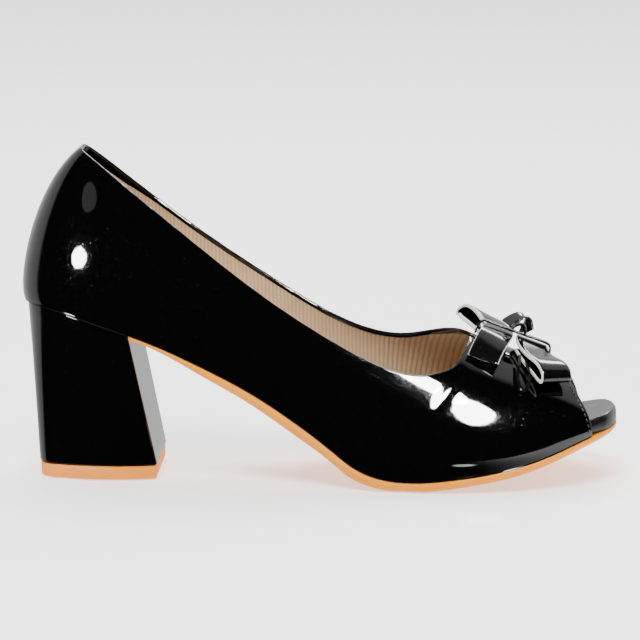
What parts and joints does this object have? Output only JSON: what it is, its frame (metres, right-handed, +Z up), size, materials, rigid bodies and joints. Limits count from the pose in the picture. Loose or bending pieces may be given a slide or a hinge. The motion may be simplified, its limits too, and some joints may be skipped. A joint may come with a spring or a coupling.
{
  "type": "open-toe block-heel pump",
  "caption": "Right open-toe pump in black patent with a ribbon bow, a covered block heel, a tan sole and a beige ribbed lining",
  "frame": {"origin": "centre of the shoe's bounding box, on the floor it stands on", "axes": "+X from heel to toe, +Y to the wearer's left (the medial side of this right shoe), +Z up"},
  "size_m": [0.2306, 0.0774, 0.1273],
  "materials": {
    "upper_patent": "black patent, mirror gloss",
    "outsole_tan": "smooth tan sole, satin",
    "insole_black": "black patent covered insole, gloss",
    "heel_patent": "block heel covered in black patent, mirror gloss",
    "top_piece_tan": "moulded tan top piece, satin",
    "ribbon_patent": "black patent ribbon with pale cut edges, gloss",
    "band_patent": "thin black patent band, gloss",
    "lining_textile": "beige ribbed textile lining, matte",
    "ribbon_edge": "pale cut edge of the ribbon, matte"
  },
  "bodies": {
    "root": {"upper": "upper_patent", "outsole": "outsole_tan", "insole": "insole_black", "heel_block": "heel_patent", "heel_top_piece": "top_piece_tan", "bow_heel_half": "ribbon_patent", "bow_toe_half": "ribbon_patent", "bow_band": "band_patent", "bow_knot": "band_patent", "bow_hanging_loop": "band_patent"}
  },
  "joints": []
}
